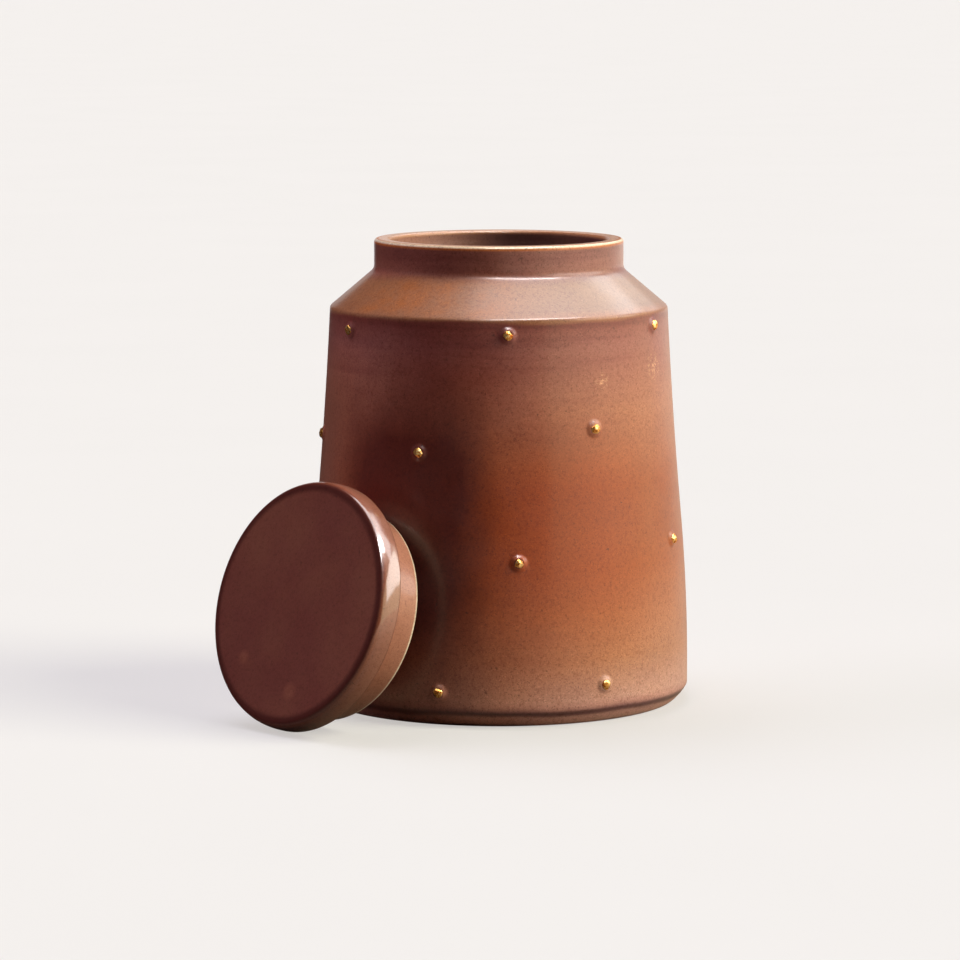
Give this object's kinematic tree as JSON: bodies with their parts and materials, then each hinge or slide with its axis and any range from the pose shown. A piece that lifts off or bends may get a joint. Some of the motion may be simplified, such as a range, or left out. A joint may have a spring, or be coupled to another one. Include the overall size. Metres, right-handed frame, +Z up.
{
  "type": "ceramic fermentation crock",
  "caption": "Tapered stoneware fermenting crock with a sloping shoulder, short collar, gold-tipped studs, loose flanged lid and half-moon weights.",
  "frame": {"origin": "centre of the jar's base, on the surface it stands on", "axes": "+Z up along the jar's axis, -Y towards the front, where the lid leans at the front left, +X to the right"},
  "size_m": [0.2334, 0.2346, 0.23],
  "materials": {
    "jar_glaze": "satin iron-red stoneware glaze, finely speckled",
    "lid_glaze": "satin dark red-brown stoneware glaze",
    "weight_clay": "matt buff stoneware",
    "gold_lustre": "bright fired-on gold lustre"
  },
  "bodies": {
    "jar": {"crock_body": "jar_glaze", "gold_bead_row_1_1": "gold_lustre", "gold_bead_row_1_2": "gold_lustre", "gold_bead_row_1_3": "gold_lustre", "gold_bead_row_1_4": "gold_lustre", "gold_bead_row_1_5": "gold_lustre", "gold_bead_row_1_6": "gold_lustre", "gold_bead_row_2_1": "gold_lustre", "gold_bead_row_2_2": "gold_lustre", "gold_bead_row_2_3": "gold_lustre", "gold_bead_row_2_4": "gold_lustre", "gold_bead_row_2_5": "gold_lustre", "gold_bead_row_2_6": "gold_lustre", "gold_bead_row_3_1": "gold_lustre", "gold_bead_row_3_2": "gold_lustre", "gold_bead_row_3_3": "gold_lustre", "gold_bead_row_3_4": "gold_lustre", "gold_bead_row_3_5": "gold_lustre", "gold_bead_row_3_6": "gold_lustre", "gold_bead_row_4_1": "gold_lustre", "gold_bead_row_4_2": "gold_lustre", "gold_bead_row_4_3": "gold_lustre", "gold_bead_row_4_4": "gold_lustre", "gold_bead_row_4_5": "gold_lustre", "gold_bead_row_4_6": "gold_lustre"},
    "lid": {"lid": "lid_glaze"},
    "weight_right": {"weight_half_right": "weight_clay"},
    "weight_left": {"weight_half_left": "weight_clay"}
  },
  "joints": [
    {"name": "lid_lift", "type": "slide", "parent": "jar", "child": "lid", "axis": [0, 0, 1], "range_m": [0, 0.3]},
    {"name": "weight_right_lift", "type": "slide", "parent": "jar", "child": "weight_right", "axis": [0, 0, 1], "range_m": [0, 0.14]},
    {"name": "weight_left_lift", "type": "slide", "parent": "jar", "child": "weight_left", "axis": [0, 0, 1], "range_m": [0, 0.14]}
  ]
}
